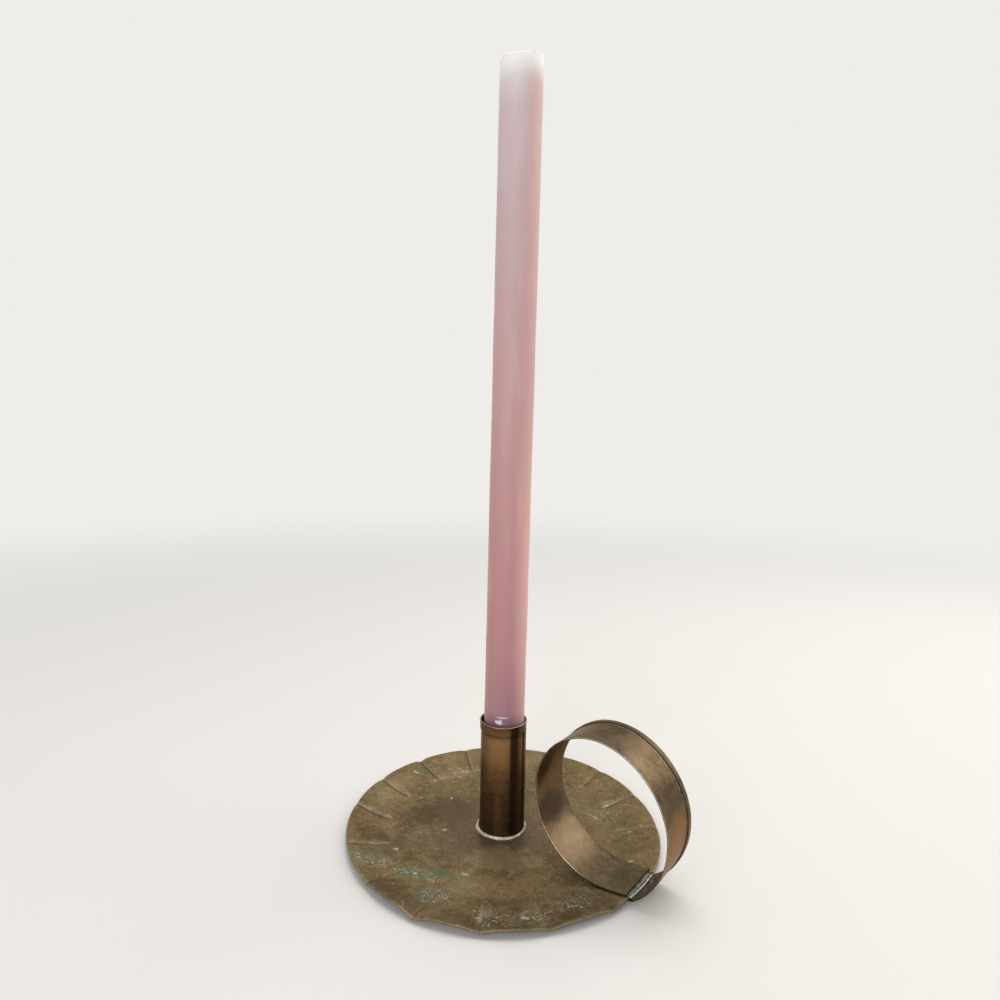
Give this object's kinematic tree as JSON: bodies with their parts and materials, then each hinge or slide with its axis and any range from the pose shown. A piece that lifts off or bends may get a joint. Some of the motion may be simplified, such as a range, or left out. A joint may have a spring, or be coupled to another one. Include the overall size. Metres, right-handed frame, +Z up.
{
  "type": "chamberstick",
  "caption": "Chamberstick with a fluted round drip pan, a rolled candle socket, a broad strap finger ring and a tall dinner candle that lifts out.",
  "frame": {"origin": "middle of the drip pan's flat underside, on the surface that it stands on", "axes": "+Z up along the candle socket, +Y away from the picture's viewer, +X to the viewer's right; the finger ring points to -37.5 degrees about Z, measured from +X"},
  "size_m": [0.1699, 0.165, 0.3984],
  "materials": {
    "pan_brass": "dull brown tarnish with green spots and scratches",
    "socket_brass": "dark brown tarnish, satin",
    "strap_brass": "grey-brown tarnish, satin, lighter along the edges",
    "solder": "dull grey-white solder",
    "white_wax": "satin white wax",
    "pink_wax": "soft gloss dusty pink wax",
    "cotton_wick": "waxed cotton"
  },
  "bodies": {
    "chamberstick": {"drip_pan": "pan_brass", "candle_socket": "socket_brass", "seam_solder": "solder", "socket_solder": "solder", "ring_handle": "strap_brass", "handle_top_solder": "solder", "handle_rim_solder": "solder"},
    "candle": {"candle_core": "white_wax", "candle_coat": "pink_wax", "candle_wick": "cotton_wick"}
  },
  "joints": [
    {"name": "candle_lift", "type": "slide", "parent": "chamberstick", "child": "candle", "axis": [0.007, 0, 1], "range_m": [0, 0.066]}
  ]
}
